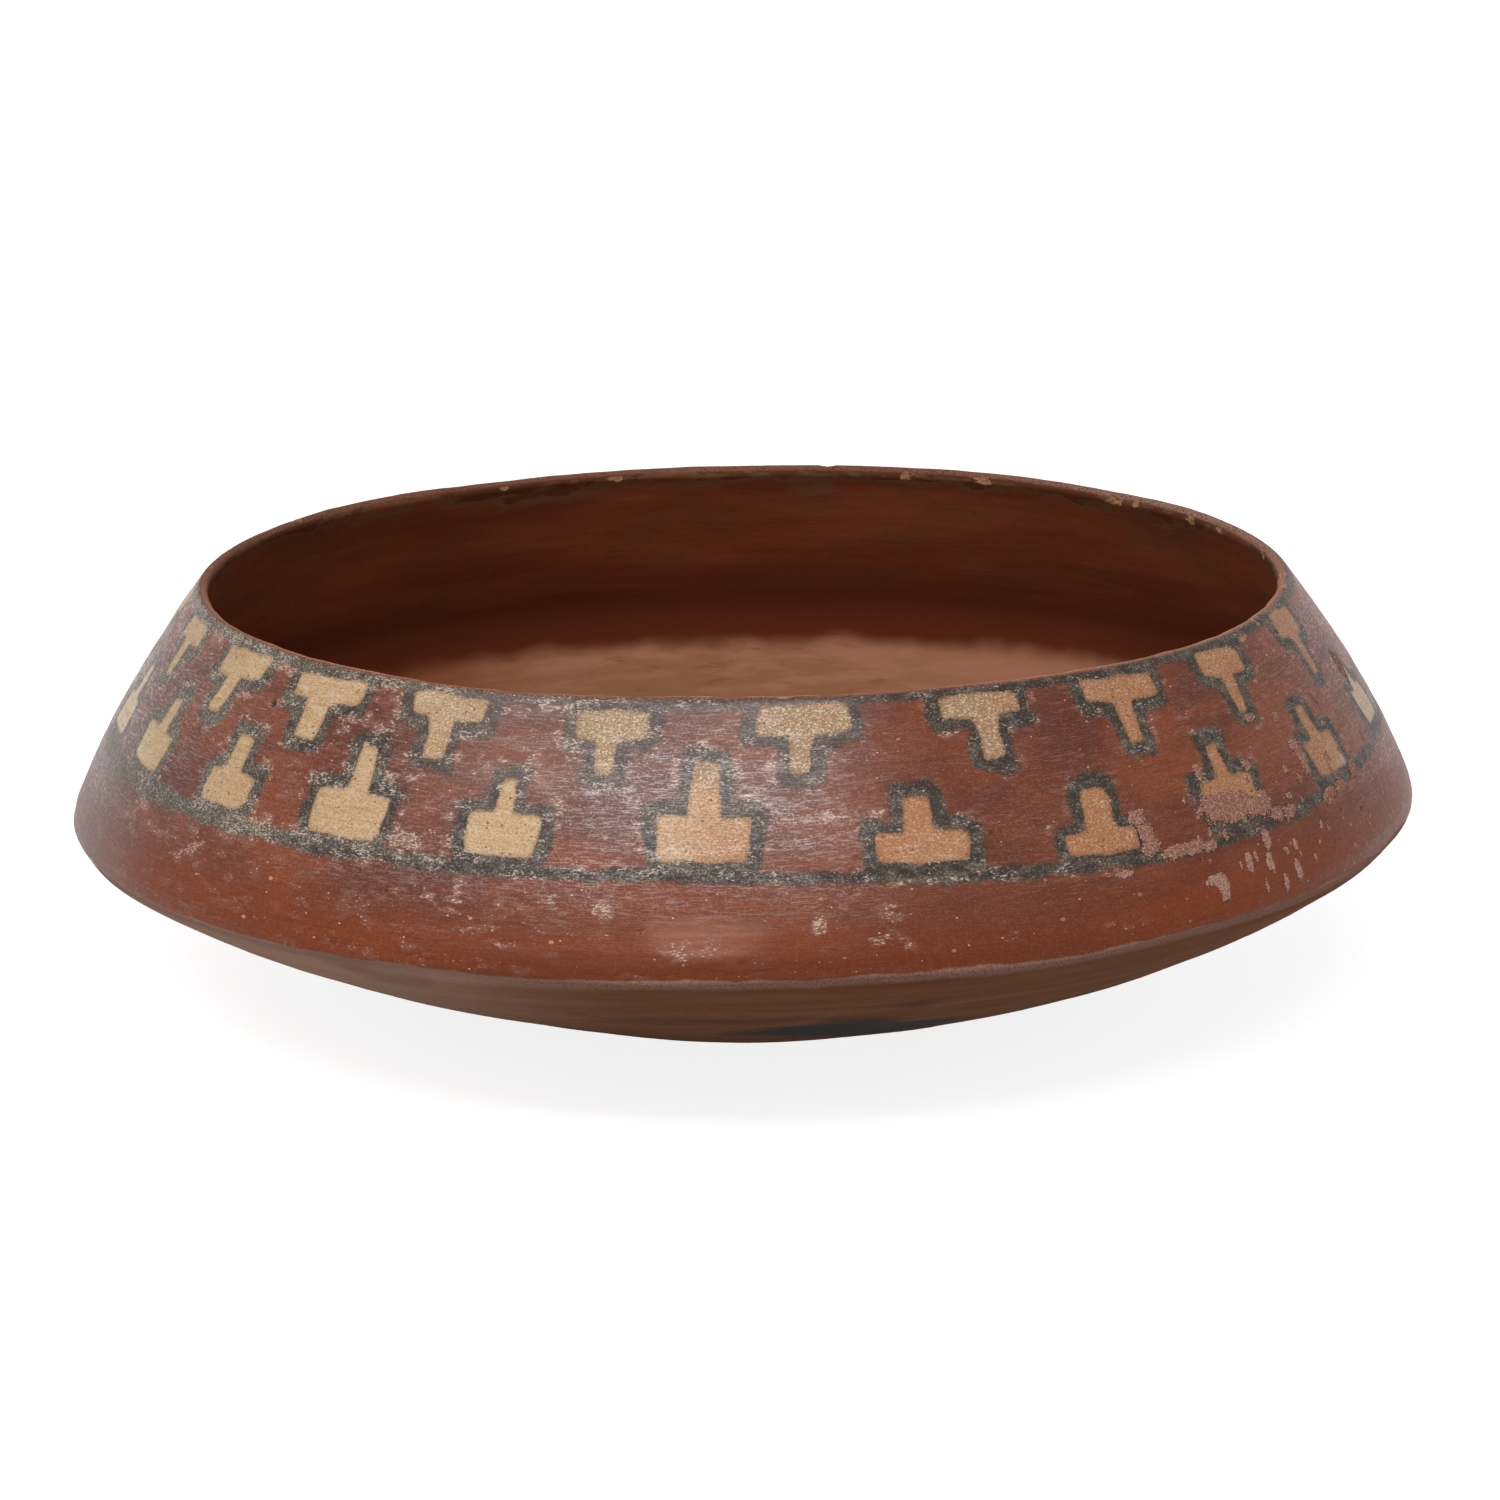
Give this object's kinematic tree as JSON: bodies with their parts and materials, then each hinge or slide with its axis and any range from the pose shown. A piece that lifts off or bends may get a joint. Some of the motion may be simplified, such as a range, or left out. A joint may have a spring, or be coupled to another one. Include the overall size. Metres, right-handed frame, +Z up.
{
  "type": "painted pottery bowl",
  "caption": "Low hand-built earthenware bowl with a sharp shoulder, an inward-leaning wall under a narrower open mouth, and a flat resting foot.",
  "frame": {"origin": "middle of the flat face that the bowl rests on", "axes": "+Z up through the mouth, +Y away from the viewer of the pictured side, +X to that viewer's right"},
  "size_m": [0.25, 0.25, 0.0783],
  "materials": {
    "painted_slip": "burnished red-brown slip with buff motifs in matte dark outlines, worn at the lip and shoulder",
    "fired_clay": "smoothed brown fired clay, dull, with fire clouding below and a rubbed pinkish floor inside"
  },
  "bodies": {
    "root": {"base_pat": "fired_clay", "base_coil_inner": "fired_clay", "base_coil_middle": "fired_clay", "base_coil_outer": "fired_clay", "keel_coil": "painted_slip", "wall_coil_lower": "painted_slip", "wall_coil_middle": "painted_slip", "wall_coil_upper": "painted_slip", "rim_coil": "painted_slip"}
  },
  "joints": []
}
